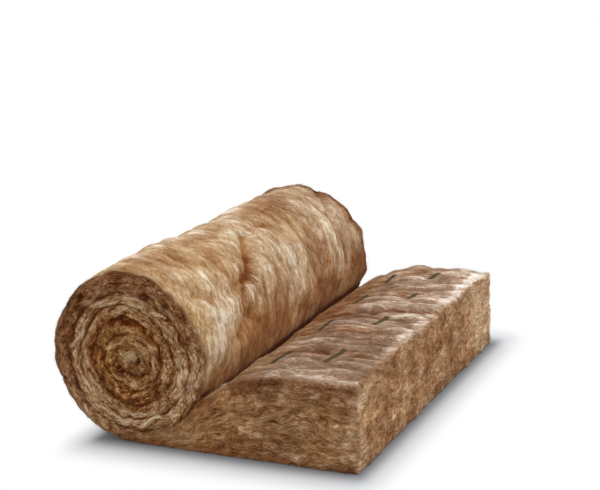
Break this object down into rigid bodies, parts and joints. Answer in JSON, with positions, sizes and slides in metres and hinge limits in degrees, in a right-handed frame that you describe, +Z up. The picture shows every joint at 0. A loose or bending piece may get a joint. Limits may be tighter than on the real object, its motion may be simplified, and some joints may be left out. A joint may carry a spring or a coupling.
{
  "type": "mineral wool insulation roll",
  "caption": "Roll of springy brown mineral wool blanket lying on its side, partly unrolled, its free end swollen back to full thickness and cut square.",
  "frame": {"origin": "on the floor, at the middle of the footprint", "axes": "+Z up, +Y along the roll's axis, +X the way the free end is unrolled"},
  "size_m": [0.953, 1.2, 0.5152],
  "materials": {
    "mineral_wool": "matte fibrous brown wool"
  },
  "bodies": {
    "root": {"wool_blanket": "mineral_wool"}
  },
  "joints": []
}
